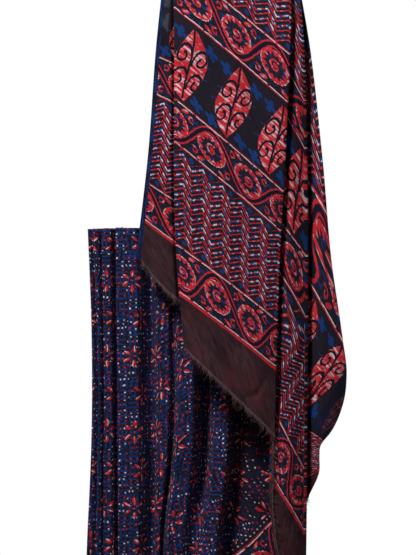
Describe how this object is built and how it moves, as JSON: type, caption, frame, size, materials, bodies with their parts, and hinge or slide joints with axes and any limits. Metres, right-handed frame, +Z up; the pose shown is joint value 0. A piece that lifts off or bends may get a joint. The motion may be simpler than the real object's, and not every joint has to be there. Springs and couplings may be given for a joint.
{
  "type": "hanging dabu print sari",
  "caption": "Sari of dark resist-printed cloth on display: knife pleats and cowl folds at the left, the patterned end hung in pleats in front.",
  "frame": {"origin": "middle of the top of the fold that the cloth hangs by", "axes": "+Z up along the hung cloth, +X to the right, -Y towards the viewer"},
  "size_m": [0.495, 0.1102, 1.6338],
  "materials": {
    "printed_cloth": "matt"
  },
  "bodies": {
    "root": {"sari_cloth": "printed_cloth"}
  },
  "joints": []
}
